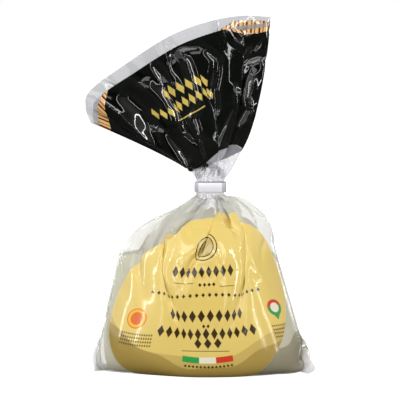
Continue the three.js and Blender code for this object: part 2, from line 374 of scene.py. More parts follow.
class Film:
    """A sheet of film: "place" is where its points are, and "plain" is the bag with no folds."""

    def __init__(self, columns, sack_rows, neck_rows, fan_rows, crush_reach):
        self.size = (columns, sack_rows, neck_rows, fan_rows, crush_reach)
        self.plain, self.up = plain_form(*self.size[:4])
        self.columns, self.rows = self.up.shape
        self.clip_row, self.fan_row = sack_rows, sack_rows + neck_rows
        self.share = np.arange(columns) / columns
        self.across = (1 - np.abs(1 - 2 * self.share))[:, None]
        low, high = self.up[:, [self.clip_row]], self.up[:, [self.fan_row]]
        self.from_clip = np.abs(self.up - np.clip(self.up, low, high))
        up_rib = np.clip((self.up - high) / (self.up[:, [-1]] - high), 0, 1)
        self.pitch = FLAT / columns * mix(1, LIP_SHARE, up_rib)
        self.fine = fine_wave(self.across[:, 0])[:, None] * (FLAT / columns < 3)
        self.opened = ease(self.from_clip, 4, 30)
        self.place = self.pleated()
        self.ties = self.make_ties(crush_reach)

    def spare_steepness(self):
        plain = self.plain
        wide = np.linalg.norm(np.roll(plain, -1, 0) - np.roll(plain, 1, 0), axis=2) / 2
        return np.sqrt(np.clip(1 - (wide / self.pitch) ** 2, 0, 1))

    def fine_depth(self):
        deepest = np.minimum(FLAT / 8 / PLEATS, PLEAT_DEPTH_AT_CLIP + 0.25 * self.from_clip)
        return self.fine * self.spare_steepness() * deepest * (1 - self.opened)

    def pleated(self):
        plain, row = self.plain, np.arange(self.rows)[None]
        is_back = self.share > 0.5
        steep, fine = self.spare_steepness(), self.fine_depth()
        inward = np.zeros_like(steep)
        in_sack = row < self.clip_row
        for wall, sack_slack, fan_slack in (
            (~is_back, SACK_FRONT_SLACK, FAN_FRONT_SLACK), (is_back, SACK_BACK_SLACK, FAN_BACK_SLACK)
        ):
            across = self.across[wall]
            sack_slopes, fan_slopes = (broad_slopes(across, slack[0]) for slack in (sack_slack, fan_slack))
            slopes = np.where(in_sack, sack_slopes, fan_slopes)
            if across[0] > across[-1]:
                slopes = -slopes
            inward[wall] = depth_from(slopes, steep[wall], self.pitch[wall])
        inward = np.clip(inward, -DEEPEST_FOLD, DEEPEST_FOLD) * self.opened
        _, outward = surface_directions(plain)
        outward = outward * self.outward_sign(outward)
        push = (inward + np.abs(fine) - fine) * ease(plain[..., 2], 70, 100)
        sack = plain - outward * push[..., None]
        neck, fan = plain.copy(), plain.copy()
        neck[..., 1] = PLEAT_DEPTH_AT_CLIP * self.fine + np.where(is_back, 0.4, -0.4)[:, None]
        fan[..., 1] += inward * np.where(is_back, -1, 1)[:, None] + fine
        in_neck = (row >= self.clip_row) & (row <= self.fan_row)
        return np.where(in_sack[..., None], sack, np.where(in_neck[..., None], neck, fan))

    def outward_sign(self, directions):
        sack = slice(0, self.clip_row)
        away = self.plain[:, sack] - np.array([0, 0, 60.0])
        return np.sign(np.sum(directions[:, sack] * away, axis=2).mean())

    def make_ties(self, crush_reach):
        """Pairs of points in groups that share no point, with their flat length and how stiff they are."""
        i, j = np.meshgrid(np.arange(self.columns), np.arange(self.rows), indexing="ij")
        number = i * self.rows + j
        rest = self.pitch * mix(0.3, 1, ease(self.from_clip, 0, crush_reach))
        ties = []
        for di, dj, long, short in TIE_KINDS:
            turn = (i // di if di else j // dj) % 2
            for group in (0, 1):
                pick = (turn == group) & (j + dj >= 0) & (j + dj < self.rows)
                a, b = (i[pick], j[pick]), ((i[pick] + di) % self.columns, j[pick] + dj)
                width = di * (rest[a] + rest[b]) / 2
                length = np.hypot(width, self.up[b] - self.up[a])
                if dj and not di or di == 2:
                    give = short
                else:
                    give = short * mix(1, FAN_GIVE, ease(self.up[a] - self.up[a[0], self.fan_row], 5, 30))
                ties.append((number[a], number[b], length, long, give))
        return ties

    def pull_ties(self, place):
        points = place.reshape(-1, 3)
        for a, b, length, long, short in self.ties:
            here, there = points[a], points[b]
            gap = there - here
            now = np.sqrt(np.einsum("ij,ij->i", gap, gap)) + 1e-9
            over = now - length
            share = 0.5 * np.where(over > 0, long, short) * over / now
            points[a] = here + share[:, None] * gap
            points[b] = there - share[:, None] * gap
        return points.reshape(place.shape)


# %% Where the film may go
def keep_in_sack(points):
    """The sack's film stays on the table and inside the plain form, apart from the ears."""
    z = np.clip(points[..., 2], 0.15, NECK_Z)
    is_right = points[..., 0] > 0
    out = reach(is_right, z) + 0.5
    tip, height, forward = (
        np.where(is_right, RIGHT_SIDE["ear_" + name], LEFT_SIDE["ear_" + name])
        for name in ("tip", "height", "forward")
    )
    off = np.abs(points[..., 1] + forward * np.clip(1 - z / height, 0, 1))
    near_ear = np.clip(1 - (off - 2) / 10, 0, 1) * np.clip((height + 8 - z) / 12, 0, 1)
    out = mix(out, np.maximum(tip, out), near_ear)
    power = 2 / squareness(z)
    full = (np.abs(points[..., 0]) / np.maximum(out, 0.1)) ** power
    full += (np.abs(points[..., 1]) / (half_depth(z) + 0.5)) ** power
    shrink = np.where((full > 1) & (out >= 1), full ** (-1 / power), 1.0)
    return np.stack([points[..., 0] * shrink, points[..., 1] * shrink, z], -1)


def keep_in_fan(points, columns, left_rib, right_rib):
    """The fan's front wall stays before its back wall, and both stay between the two outer ribs."""
    front = np.arange(1, columns // 2)
    back = columns - front
    over = np.maximum(0, points[front, :, 1] + 0.5 - points[back, :, 1]) / 2
    points[front, :, 1] -= over
    points[back, :, 1] += over
    limit = np.interp(points[..., 2], right_rib[:, 2], right_rib[:, 0]) + 0.4
    points[..., 0] = np.minimum(points[..., 0], limit)
    floor = np.interp(points[..., 0], left_rib[::-1, 0], left_rib[::-1, 2]) - 0.4
    points[..., 2] = np.where(points[..., 0] < -3, np.maximum(points[..., 2], floor), points[..., 2])
    return points


# %% The push of the brine, and the passes
BRINE_LEVEL = 90
PUSH, PUSH_ABOVE_BRINE, PUSH_AT_FOOT, GLIDE, HOME_PULL = 0.012, 0.25, 1.2, 0.92, 0.004
RIB_HOLD, LIP_HOLD, SIDE_HOLD = 0.25, 0.15, 6  # how firmly the outer ribs, the lip and the sides stay at home
PINCHED_WIDTH, PINCHED_HEIGHT = 14, 26  # the corner that the foot weld keeps flat and empty


def fold(film, passes):
    place, before = film.place, film.place.copy()
    sack = (np.arange(film.rows) < film.clip_row)[None, :, None]
    fan = (np.arange(film.rows) > film.fan_row)[None, :, None]
    pinned = np.zeros(film.up.shape, bool)
    pinned[:, film.clip_row : film.fan_row + 1] = True
    held = film.pleated()[pinned]
    to_side = np.minimum(film.across, 1 - film.across)
    top, rib_start = film.up[:, [-1]], film.up[:, [film.fan_row]]
    up_rib = np.clip((film.up - rib_start) / (top - rib_start), 0, 1)
    edge = RIB_HOLD * (to_side < 0.6 / film.columns) + LIP_HOLD * ease(up_rib, 0.8, 1)
    shoulder = 0.1 + SIDE_HOLD * ease(0.05 - to_side, 0, 0.05) * ease(film.up, 20, 60)
    to_rib = HOME_PULL * (1 + 14 * edge)[..., None] * np.array([1.0, 0.15, 1.0])
    corner = np.clip(1 - np.hypot(to_side * FLAT / 2 / PINCHED_WIDTH, film.up / PINCHED_HEIGHT), 0, 1)
    pushed = (1 - ease(corner, 0, 0.25))[..., None] * sack
    pinched = (0.4 * ease(corner, 0.35, 1))[..., None]
    ribs = [fan_point(np.full(60, end), 1, np.linspace(0, 1, 60)) for end in (0.0, 1.0)]
    sign = film.outward_sign(surface_directions(film.plain)[1])
    front = slice(1, film.columns // 2)
    back = slice(None, film.columns // 2, -1)
    for _ in range(passes):
        speed, before = place - before, place.copy()
        area, outward = surface_directions(place)
        depth = np.clip((BRINE_LEVEL + 6 - place[..., 2:]) / (BRINE_LEVEL + 6), 0, 1)
        brine = PUSH_ABOVE_BRINE + PUSH_AT_FOOT * depth
        push = PUSH * brine * area / (4 * (FLAT / film.columns) ** 2) * sign
        place = place + GLIDE * speed + pushed * push * outward
        place += pinched * (film.plain - place)
        place += (fan * to_rib + sack * HOME_PULL * shoulder[..., None]) * (film.plain - place)
        place = film.pull_ties(place)
        place[:, : film.clip_row] = keep_in_sack(place[:, : film.clip_row])
        above = slice(film.fan_row + 1, None)
        place[:, above] = keep_in_fan(place[:, above], film.columns, *ribs)
        place[pinned] = held
        weld = (place[front, 0] + place[back, 0]) / 2
        place[front, 0] = weld
        place[back, 0] = weld
    film.place = place


# %% Coarse to fine
def row_marks(size):
    _, sack_rows, neck_rows, fan_rows, _ = size
    parts = [np.linspace(0, 1, rows + 1) + k for k, rows in enumerate((sack_rows, neck_rows, fan_rows))]
    return np.concatenate([parts[0], parts[1][1:], parts[2][1:]])


def refined(coarse, size):
    """The coarse sheet's points, spread over a finer grid."""
    marks = row_marks(coarse.size)
    row = np.interp(row_marks(size), marks, np.arange(len(marks)))
    column = np.arange(size[0]) / size[0] * coarse.columns
    ringed = np.concatenate([coarse.place, coarse.place[:1]], 0)
    i, j = np.floor(column).astype(int), np.minimum(np.floor(row).astype(int), len(marks) - 2)
    wi, wj = (column - i)[:, None, None], (row - j)[None, :, None]
    rows = mix(ringed[i], ringed[i + 1], wi)
    return mix(rows[:, j], rows[:, j + 1], wj)


STAGES = [((88, 40, 4, 27, 45), 300), ((176, 80, 6, 54, 30), 250), ((264, 120, 8, 80, 22), 200)]
film_sheet = None
for size, passes in STAGES:
    finer = Film(*size)
    if film_sheet:
        finer.place = refined(film_sheet, size)
        finer.place[..., 1] += finer.fine_depth()
    film_sheet = finer
    fold(film_sheet, passes)
    low_corner, high_corner = film_sheet.place.min((0, 1)), film_sheet.place.max((0, 1))
    print("sheet", size, "box, mm:", low_corner.round(1), high_corner.round(1))


# %% [markdown]
# ## Broad tucks in the fan
# Away from the clip the spare film lies in a few deep tucks: the wall runs flat up to a ridge, doubles back
# behind itself, turns again and runs on as the next flat facet. The tucks grow towards the neck and nearly
# vanish at the lip. They are laid out by rule, from where each tuck is on the flat tube, and blended into the
# simulated pleats by the clip. All this is done on a still finer grid, which can hold sharp creases.

# %% The finest sheet
FINEST = (344, 130, 8, 136, 22)
finest = Film(*FINEST)
finest.place = refined(film_sheet, FINEST)
ringed = np.concatenate([finest.place[-1:], finest.place, finest.place[:1]], 0)
finest.place = (ringed[:-2] + 2 * ringed[1:-1] + ringed[2:]) / 4
finest.place[:, 1:-1] = (finest.place[:, :-2] + 2 * finest.place[:, 1:-1] + finest.place[:, 2:]) / 4
film_sheet = finest

# %% The tucks and how they lie
# Each has its place on the flat wall by the neck and at the lip, its share of the spare film, how far in its
# groove lies, and which facet hides it: 1 for the one before it and -1 for the one after it
FRONT_TUCKS = (
    (36, 16, 0.36, 0.1, -1), (80, 79, 0.05, 1.0, 1), (90, 114, 0.05, 1.0, -1), (144, 168, 0.54, 0.1, 1)
)
BACK_TUCKS = ((52, 40, 0.34, 0.1, -1), (104, 92, 0.28, 0.4, 1), (158, 150, 0.38, 0.1, 1))
RIDGE_OUT, SIDE_OUT = 1.35, 0.6  # how far out a ridge and the fan's sides stand, as shares of the half depth
FOLD_RADIUS, FINE_STEP = 1.6, 0.25


def tucked(run, length, width, tucks, t):
    """Where film lies along a shorter ring, as a share of it, and how far out from the middle it stands."""
    spare = width - length
    film_at, ring_at, out = [0.0], [0.0], [SIDE_OUT]
    for by_neck, at_lip, share, inside, hidden_by in tucks:
        groove, tuck = mix(by_neck, at_lip, t), spare * share / 2
        deepest = mix(NECK_HALF_DEPTH, MOUTH_HALF_DEPTH, t) * RIDGE_OUT
        level = 1 - (1 - inside) * min(1, tuck / deepest)
        for turn, way in ((groove - max(hidden_by, 0) * tuck, 1), (groove + max(-hidden_by, 0) * tuck, -1)):
            step = max(turn - film_at[-1], 0.5)
            ring_at.append(ring_at[-1] + step * way)
            film_at.append(film_at[-1] + step)
            out.append(RIDGE_OUT * (1 if way == hidden_by else level))
    ring_at.append(ring_at[-1] + width - film_at[-1])
    film_at.append(width)
    out.append(SIDE_OUT)
    fine = np.arange(-30, width + 30, FINE_STEP)
    kernel = np.exp(-((np.arange(-24, 25) * FINE_STEP / FOLD_RADIUS) ** 2) / 2)
    kernel /= kernel.sum()
    place = np.convolve(np.interp(fine, film_at, ring_at), kernel, "same") * length / ring_at[-1]
    depth = np.convolve(np.interp(fine, film_at, out), kernel, "same")
    place = np.interp(run, fine, place)
    end = np.minimum(run, width - run)
    place = mix(np.where(run < width / 2, 0, length), place, ease(end, 0, 4))
    return np.clip(place / length, 0, 1), np.interp(run, fine, depth)


def tuck_fan(film):
    grid = np.linspace(0, 1, 101)
    first = film.up[:, [film.fan_row]]
    up_rib = np.clip((film.up - first) / (film.up[:, [-1]] - first), 0, 1)
    for back, wall, tucks in (
        (-1, film.share <= 0.5, FRONT_TUCKS), (1, film.share > 0.5, BACK_TUCKS)
    ):
        across = film.across[wall, 0]
        for row in range(film.fan_row + 1, film.rows):
            t = up_rib[0, row]
            length = lengths_along(fan_point(grid, back, t))[-1]
            width = FLAT / 2 * mix(1, LIP_SHARE, t)
            place, out = tucked(across * width, length, width, tucks, t)
            laid = fan_point(place, back, t)
            laid[:, 1] *= out
            film.place[wall, row] = mix(film.place[wall, row], laid, ease(t, 0.04, 0.26))


tuck_fan(film_sheet)


# %% The brine presses the lower wall smooth: its short waves are averaged out
WAVE_COLUMNS, WAVE_WIDTH = 12, 5.5  # how many columns are averaged, and how wide the average's bell is


def press_smooth(film):
    from_side = np.minimum(film.across, 1 - film.across) * FLAT / 2
    pressed = ease(film.up, 24, 44) * (1 - ease(film.up, 92, 130)) * ease(from_side, 10, 24)
    weights = np.exp(-((np.arange(-WAVE_COLUMNS, WAVE_COLUMNS + 1) / WAVE_WIDTH) ** 2) / 2)
    around = [weight * np.roll(film.place, shift, 0) for shift, weight in enumerate(weights, -WAVE_COLUMNS)]
    film.place += pressed[..., None] * (sum(around) / weights.sum() - film.place)


press_smooth(film_sheet)

# %% [markdown]
# ## Creases from handling
# Film that has been folded and unfolded keeps sharp, shallow creases, and on a glossy film each of them draws
# a thin bright line. They don't come from the filling, so the simulation doesn't make them. Each is a low
# tent across a line on the flat tube. The main ones follow bent lines that are given by their corners, and
# small straight ones lie at random places, mostly running up and down.


# %% Low tents along given and random lines
def tent(aside, wide, soft=False):
    """1 on the crease's line and 0 at its half width: sharp on the line and hollow beside it, or all soft."""
    height = np.clip(1 - np.abs(aside) / wide, 0, 1)
    return height**2 * (3 - 2 * height if soft else 1)


def crease(film, x, y, degrees, reach, height, wide, wave=1.2):
    """How far one crease lifts each point: its middle, its direction, its half length and its half width."""
    dx = ((film.share * FLAT)[:, None] - x + FLAT / 2) % FLAT - FLAT / 2
    dy, angle = film.up - y, math.radians(degrees)
    along = dx * math.cos(angle) + dy * math.sin(angle)
    aside = dy * math.cos(angle) - dx * math.sin(angle) + wave * np.sin(along / 6 + x)
    return height * tent(aside, wide) * np.clip(1 - (along / reach) ** 2, 0, 1) ** 1.5


def random_creases(seed, count, low, high, lengths, heights, lean, widths=(4, 9)):
    """Straight creases between two heights on the tube; "lean" is how far they stray from upright."""
    draw = np.random.default_rng(seed)
    for _ in range(count):
        x, y, length = draw.uniform(0, FLAT), draw.uniform(low, high), draw.uniform(*lengths)
        height = draw.uniform(*heights) * draw.choice([-1, 1])
        yield x, y, draw.normal(90, lean), length, height, draw.uniform(*widths)


def bent_crease(film, height, wide, corners, soft=False):
    """The lift of a crease that runs from corner to corner of a bent line, and fades at both ends."""
    x, y = (film.share * FLAT)[:, None], film.up
    nearest, run, length = np.full(y.shape, 99.0), np.zeros(y.shape), 0.0
    for (x0, y0), (x1, y1) in zip(corners, corners[1:]):
        step = math.hypot(x1 - x0, y1 - y0)
        share = np.clip(((x - x0) * (x1 - x0) + (y - y0) * (y1 - y0)) / step**2, 0, 1)
        away = np.hypot(x - x0 - share * (x1 - x0), y - y0 - share * (y1 - y0))
        run = np.where(away < nearest, length + share * step, run)
        nearest, length = np.minimum(nearest, away), length + step
    return height * tent(nearest, wide, soft) * ease(np.minimum(run, length - run), -4, 6)


# Each: its height, its half width, the corners of its line, and whether it is a soft dent
BENT_CREASES = (
    (1.8, 7, [(89, 327), (91, 314), (83, 300), (75, 284), (79, 268)]),
    (-1.8, 7, [(115, 323), (108, 308), (101, 295), (90, 286), (84, 262), (80, 240)]),
    (1.8, 7, [(60, 298), (60, 284), (62, 262), (60, 245)]),
    (1.8, 5, [(188, 293), (198, 297), (211, 303)]),
    (-1.8, 6, [(160, 324), (164, 318), (189, 308), (199, 312)]),
    (1.6, 6, [(103, 323), (118, 328), (134, 331)]),
    (1.8, 7, [(135, 328), (139, 320), (133, 312), (124, 300), (114, 280)]),
    (-1.8, 7, [(199, 285), (199, 270), (203, 260), (200, 245)]),
    (-3.6, 15, [(30, 330), (38, 312), (40, 300), (40, 286), (52, 268), (62, 250)]),
    (3.0, 13, [(54, 324), (58, 308), (50, 294)], True),
    (-2.4, 11, [(70, 326), (73, 308), (68, 290)], True),
    (-1.6, 6, [(138, 300), (130, 284), (112, 262), (104, 250)]),
    (-1.8, 7, [(246, 325), (260, 300), (256, 268)]),
    (1.8, 7, [(300, 330), (296, 305), (304, 280), (300, 256)]),
    (-1.8, 6, [(345, 325), (352, 300), (340, 274)]),
    (1.6, 6, [(388, 318), (374, 300), (380, 280)]),
    (-1.6, 6, [(278, 318), (304, 310), (332, 314)]),
)
lift = sum(bent_crease(film_sheet, *line) for line in BENT_CREASES) + sum(
    crease(film_sheet, *line)
    for line in (
        *random_creases(2, 14, 205, 330, (25, 60), (1.2, 2.4), 25, (14, 26)),
        *random_creases(3, 16, 215, 328, (12, 30), (0.8, 1.8), 35, (5, 12)),
        *random_creases(5, 50, 110, 180, (8, 26), (0.5, 1.3), 35, (4, 9)),
        *random_creases(8, 22, 10, 110, (8, 22), (0.1, 0.3), 50),
    )
)
lift *= ease(film_sheet.from_clip, 6, 20) * ease(film_sheet.up, 4, 20)
film_sheet.place -= surface_directions(film_sheet.place)[1] * lift[..., None]
print("deepest crease, mm:", round(float(np.abs(lift).max()), 1))

# %% [markdown]
# ## The film as a mesh
# The grid becomes quads. Two maps go with it. `flat` holds the flat millimetres, around and up. `lip` holds
# how far a point lies below the lip, for the print that follows the bag's mouth. Its second number is how far
# across the mouth the point is, so that the map stays a sheet and doesn't collapse to a line.


# %% Mesh with its flat maps
def linked(name, mesh):
    piece = bpy.data.objects.new(name, mesh)
    bpy.context.scene.collection.objects.link(piece)
    return piece


def film_mesh(film):
    columns, rows = film.columns, film.rows
    number = np.arange(columns * rows).reshape(columns, rows)
    after = np.roll(number, -1, 0)
    quads = np.stack([number[:, :-1], after[:, :-1], after[:, 1:], number[:, 1:]], -1).reshape(-1, 4)
    mesh = bpy.data.meshes.new("film")
    mesh.from_pydata((film.place.reshape(-1, 3) * MM).tolist(), [], quads.tolist())
    mesh.shade_smooth()
    column = np.arange(columns)[:, None] + np.zeros((1, rows - 1))
    around = np.stack([column, column + 1, column + 1, column], -1).reshape(-1) * FLAT / columns
    loops = quads.reshape(-1)
    flat = mesh.uv_layers.new(name="flat")
    flat.data.foreach_set("uv", (np.stack([around, film.up.reshape(-1)[loops]], -1) * MM).ravel())
    below = (film.up[:, [-1]] - film.up).reshape(-1)[loops]
    across = (film.across + np.zeros((1, rows))).reshape(-1)[loops]
    lip = mesh.uv_layers.new(name="lip")
    lip.data.foreach_set("uv", np.stack([below * MM, across], -1).ravel())
    return mesh


film = linked("film", film_mesh(film_sheet))
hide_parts("film_bag")
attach(film, "root")
print("film:", len(film.data.polygons), "quads")

# %% [markdown]
# ## Materials as formulas
# Ink is placed by formulas in flat millimetres. Writing each sum as a chain of node calls would be long, so a
# small class stands for a number that varies over the film: adding or comparing two of them adds the math
# node. Colours are written as the sRGB hex values a printer would give, and one function turns them to
# linear.


# %% Colours, and one function that adds a node
def linear(hex_colour):
    channels = [int(hex_colour[i : i + 2], 16) / 255 for i in (1, 3, 5)]
    return tuple(c / 12.92 if c <= 0.04045 else ((c + 0.055) / 1.055) ** 2.4 for c in channels) + (1.0,)


def add(tree, kind, settings=None, inputs=None):
    """A node with its settings, and its inputs given as values or as other nodes' sockets."""
    node = tree.nodes.new(kind)
    for name, value in (settings or {}).items():
        setattr(node, name, value)
    for name, value in (inputs or {}).items():
        if isinstance(value, Amount):
            value = value.socket
        if isinstance(value, bpy.types.NodeSocket):
            tree.links.new(value, node.inputs[name])
        else:
            node.inputs[name].default_value = value
    return node


class Amount:
    """A number that varies over a surface. Arithmetic on it adds math nodes."""

    def __init__(self, tree, socket):
        self.tree, self.socket = tree, socket

    def math(self, operation, *others, clamp=False):
        inputs = dict(enumerate((self, *others)))
        node = add(self.tree, "ShaderNodeMath", {"operation": operation, "use_clamp": clamp}, inputs)
        return Amount(self.tree, node.outputs[0])

    def __add__(self, other):
        return self.math("ADD", other)

    def __sub__(self, other):
        return self.math("SUBTRACT", other)

    def __mul__(self, other):
        return self.math("MULTIPLY", other)

    def __truediv__(self, other):
        return self.math("DIVIDE", other)

    def __neg__(self):
        return self.math("MULTIPLY", -1.0)

    def __abs__(self):
        return self.math("ABSOLUTE")

    def least(self, other):
        return self.math("MINIMUM", other)

    def most(self, other):
        return self.math("MAXIMUM", other)

    def edge(self, softness=0.35):
        """1 where the amount is above nought, 0 below, with an edge this many millimetres soft."""
        return self.math("MULTIPLY_ADD", 1 / softness, 0.5, clamp=True)


def over(tree, mask, top, below):
    """One colour laid over another where the mask is 1. A mix node's colour sockets are numbers 6 and 7."""
    return add(tree, "ShaderNodeMix", {"data_type": "RGBA"}, {0: mask, 6: below, 7: top}).outputs[2]


def new_material(name):
    material = bpy.data.materials.new(name)
    material.use_nodes = True
    tree = material.node_tree
    return material, tree, tree.nodes["Principled BSDF"]


# %% [markdown]
# ## Printed low-density polyethylene
# The bag is blown LDPE film about 0.07 mm thick, printed by flexography. Clear LDPE is slightly milky, so it
# greys what lies behind it. Ink sits on it as flat fields, a little see-through, with the same gloss as the
# film. The design here is plain: a warm yellow field with soft hills, rows of small ornaments, two seals and
# a three-colour band on the front, a cream panel behind, and a black top with a gold and red striped band.
# The gloss is what tells the eye that it is film: the wet sack mirrors softly and the dry fan sharply.

# %% Film: where a point lies on the flat tube
film_material, ink, film_surface = new_material("printed_ldpe_film")
TO_MM = 1000.0
flat_map = add(ink, "ShaderNodeUVMap", {"uv_map": "flat"})
flat_xyz = add(ink, "ShaderNodeSeparateXYZ", inputs={"Vector": flat_map.outputs[0]})
around, up = (Amount(ink, flat_xyz.outputs[axis]) * TO_MM for axis in (0, 1))
lip_map = add(ink, "ShaderNodeUVMap", {"uv_map": "lip"})
lip_xyz = add(ink, "ShaderNodeSeparateXYZ", inputs={"Vector": lip_map.outputs[0]})
below_lip = Amount(ink, lip_xyz.outputs[0]) * TO_MM
on_front = (-(around - FLAT / 2)).edge()
on_back = (around - FLAT / 2).edge()


# %% Film: shapes that ink can take
def risen(x, y, tilt=0.0, sag=0.0, half=1.0):
    """How far above a line that passes x, y: it may be tilted, and its ends may stand above its middle."""
    return up - y - (around - x) * tilt - ((around - x) / half).math("POWER", 2.0) * sag


def disc(x, y, radius, tilt=0.0):
    return -((around - x).math("POWER", 2.0) + risen(x, y, tilt).math("POWER", 2.0)).math("SQRT") + radius


def block(x, y, width, height, tilt=0.0):
    """Above nought inside an upright rectangle round the point x, y."""
    return (-abs(around - x) + width / 2).least(-abs(risen(x, y, tilt)) + height / 2)


def row_of_lozenges(x, y, count, pitch, width, height, tilt=0.0, sag=0.0):
    rise = risen(x, y, tilt, sag, count * pitch / 2)
    along = (around - x) / pitch + count / 2
    inside = (along - along.math("FLOOR") - 0.5) * pitch
    lozenge = -(abs(inside) / (width / 2)) - abs(rise) / (height / 2) + 1.0
    return (lozenge * (height / 4)).least(-abs(around - x) + count * pitch / 2)


def rule(x, y, width, thickness, tilt=0.0, sag=0.0):
    return (-abs(risen(x, y, tilt, sag, width / 2)) + thickness / 2).least(-abs(around - x) + width / 2)


def between(value, low, high):
    """0 up to the first limit, 1 from the second, and straight between; the second may be the lower one."""
    return (value - low).math("MULTIPLY", 1 / (high - low), clamp=True)


# %% Film: the yellow field and its hills
FIELD_X, FIELD_Y, FIELD_HALF_WIDTH, FIELD_TILT = 107, 84, 84, 0.2
FIELD_RISE, FIELD_FALL = 92, 56
field_x = (around - FIELD_X) / FIELD_HALF_WIDTH
field_rise = risen(FIELD_X, FIELD_Y, FIELD_TILT)
field_y = field_rise.most(0.0) / FIELD_RISE + (-field_rise).most(0.0) / FIELD_FALL
field_round = (field_x.math("POWER", 2.0) + field_y.math("POWER", 2.0)).math("SQRT")
field = ((-field_round + 1.0) * FIELD_FALL).edge() * on_front
hill_line = (around * 0.045).math("SINE") * 4.0 + (around * 0.17 + 1.7).math("SINE") * 1.5 + 56.0
far_hill_line = (around * 0.032 + 2.2).math("SINE") * 4.0 + (around * 0.09).math("SINE") * 2.0 + 62.0
hills, far_hills = (hill_line - up).edge(0.8), (far_hill_line - up).edge(0.8)

YELLOW, FAR_HILL, HILL = linear("#e1c66d"), linear("#c9ae5e"), linear("#a98f47")
DARK_BROWN, GREEN, RED, PALE = linear("#3d2a0c"), linear("#2f9b48"), linear("#cf3a1e"), linear("#e9e2cb")
ORANGE, GOLD_YELLOW, OLIVE = linear("#dc6a1c"), linear("#f0b92c"), linear("#b8a35a")

colour = over(ink, far_hills, FAR_HILL, YELLOW)
colour = over(ink, hills, HILL, colour)

# %% Film: rows of lozenges, rules, an emblem of rings, two seals and a three-colour band
# A row has its middle, its height on the film, a count, a pitch, and the width and height of one lozenge
dark_marks = row_of_lozenges(108.5, 92.5, 10, 6.9, 5.6, 9.5, sag=-2.0).edge()
for mark in (
    row_of_lozenges(108.5, 79, 13, 6.5, 5.2, 9.0, sag=-4.5),
    row_of_lozenges(108.5, 84.8, 2, 3.4, 2.6, 3.2),
    row_of_lozenges(109.5, 71.6, 3, 8.0, 6.0, 8.0),
    row_of_lozenges(106, 126, 9, 5.6, 4.6, 9.0),
    row_of_lozenges(109, 108.5, 22, 5.0, 2.9, 3.4, sag=-8.5),
    row_of_lozenges(109.5, 116.3, 4, 3.6, 2.6, 3.2),
    row_of_lozenges(109, 53.6, 13, 2.9, 2.2, 2.4),
    rule(91, 117.5, 16, 0.5),
    rule(125, 114.5, 11, 0.5),
    rule(107, 66.0, 38, 0.5, sag=-1.5),
):
    dark_marks = dark_marks.most(mark.edge())
EMBLEM = (108, 147)
colour = over(ink, disc(*EMBLEM, 9.2).edge(), OLIVE, colour)
rings = (-abs(disc(*EMBLEM, 12.0)) + 0.45).most(-abs(disc(*EMBLEM, 9.2)) + 0.4)
rings = rings.most(row_of_lozenges(*EMBLEM, 1, 8.0, 6.0, 11.0))
dark_marks = dark_marks.most(rings.edge())
LEFT_SEAL, LEFT_LEAN, RIGHT_SEAL, RIGHT_LEAN = (49, 76.5), 0.35, (170.5, 82), -0.4
for line in range(4):
    left_row = row_of_lozenges(52, 65.5 - 2.7 * line, 14, 1.75, 1.5, 2.1, tilt=LEFT_LEAN)
    right_x, right_y = 170.5 - 0.6 * line, 68 - 2.6 * line
    right_row = row_of_lozenges(right_x, right_y, 9 - line, 1.75, 1.5, 2.0, tilt=RIGHT_LEAN)
    dark_marks = dark_marks.most(left_row.most(right_row).edge() * 0.85)
colour = over(ink, dark_marks, DARK_BROWN, colour)
for x, band_ink in ((95.5, GREEN), (108.5, PALE), (121.5, RED)):
    colour = over(ink, block(x, 58.8, 13.0, 4.6).edge(), band_ink, colour)
for radius, seal_ink in ((7.8, ORANGE), (6.9, GOLD_YELLOW), (4.9, ORANGE)):
    colour = over(ink, disc(*LEFT_SEAL, radius, LEFT_LEAN).edge(), seal_ink, colour)
seal_height = risen(*RIGHT_SEAL, RIGHT_LEAN)
point = ((seal_height + 9.5) * 0.7 - abs(around - RIGHT_SEAL[0])).least(-seal_height)
right_seal = disc(*RIGHT_SEAL, 6.4, RIGHT_LEAN).most(point)
colour = over(ink, right_seal.edge(), RED, colour)
colour = over(ink, right_seal.least(-seal_height + 1.0).edge(), GREEN, colour)
colour = over(ink, disc(*RIGHT_SEAL, 3.8, RIGHT_LEAN).edge(), PALE, colour)

# %% Film: the empty corners, and a grey hill that runs past the field at the right side
CLEAR_WIDTH, CLEAR_HEIGHT = 26.0, 30.0
to_side = (-abs(-abs(around - FLAT / 2) + FLAT / 4) + FLAT / 4) / CLEAR_WIDTH
from_tip = to_side.math("POWER", 2.0) + (up / CLEAR_HEIGHT).math("POWER", 2.0)
ear = (-from_tip + 1.0).math("MAXIMUM", 0.0, clamp=True)
GREY_HILL, GREY_HILL_TOP = linear("#9a937f"), 53.0
grey_rise = between(around, 110, 125).least(between(around, 232, 212)) * GREY_HILL_TOP
grey_hill = (grey_rise + (around * 0.21).math("SINE") * 1.5 - up).edge(0.8) * (-field + 1.0) * (-ear + 1.0)

# %% Film: the cream panel on the back
BACK_X, CREAM, PANEL_GREY = 3 * FLAT / 4, linear("#e4dcc6"), linear("#9a9a98")
PANEL_Y, PANEL_HALF_WIDTH, PANEL_HALF_HEIGHT, SQUARENESS = 112.0, 74.0, 68.0, 3.2
back_x, back_y = abs(around - BACK_X) / PANEL_HALF_WIDTH, abs(up - PANEL_Y) / PANEL_HALF_HEIGHT
back_squared = back_x.math("POWER", SQUARENESS) + back_y.math("POWER", SQUARENESS)
back_round = back_squared.math("POWER", 1 / SQUARENESS)
back_field = ((-back_round + 1.0) * PANEL_HALF_HEIGHT).edge() * on_back
LINE_PITCH = 4.6
lines_of_grey = (up / LINE_PITCH - (up / LINE_PITCH).math("FLOOR") - 0.5).math("ABSOLUTE") * -LINE_PITCH
small_print = (lines_of_grey + 0.75).least(block(BACK_X - 24, 122, 62, 64)).edge()
table_box = block(BACK_X + 36, 128, 40, 50)
printed_table = (-abs(table_box) + 0.4).most((lines_of_grey + 0.35).least(table_box))
panel = over(ink, small_print.most(printed_table.edge()), PANEL_GREY, CREAM)
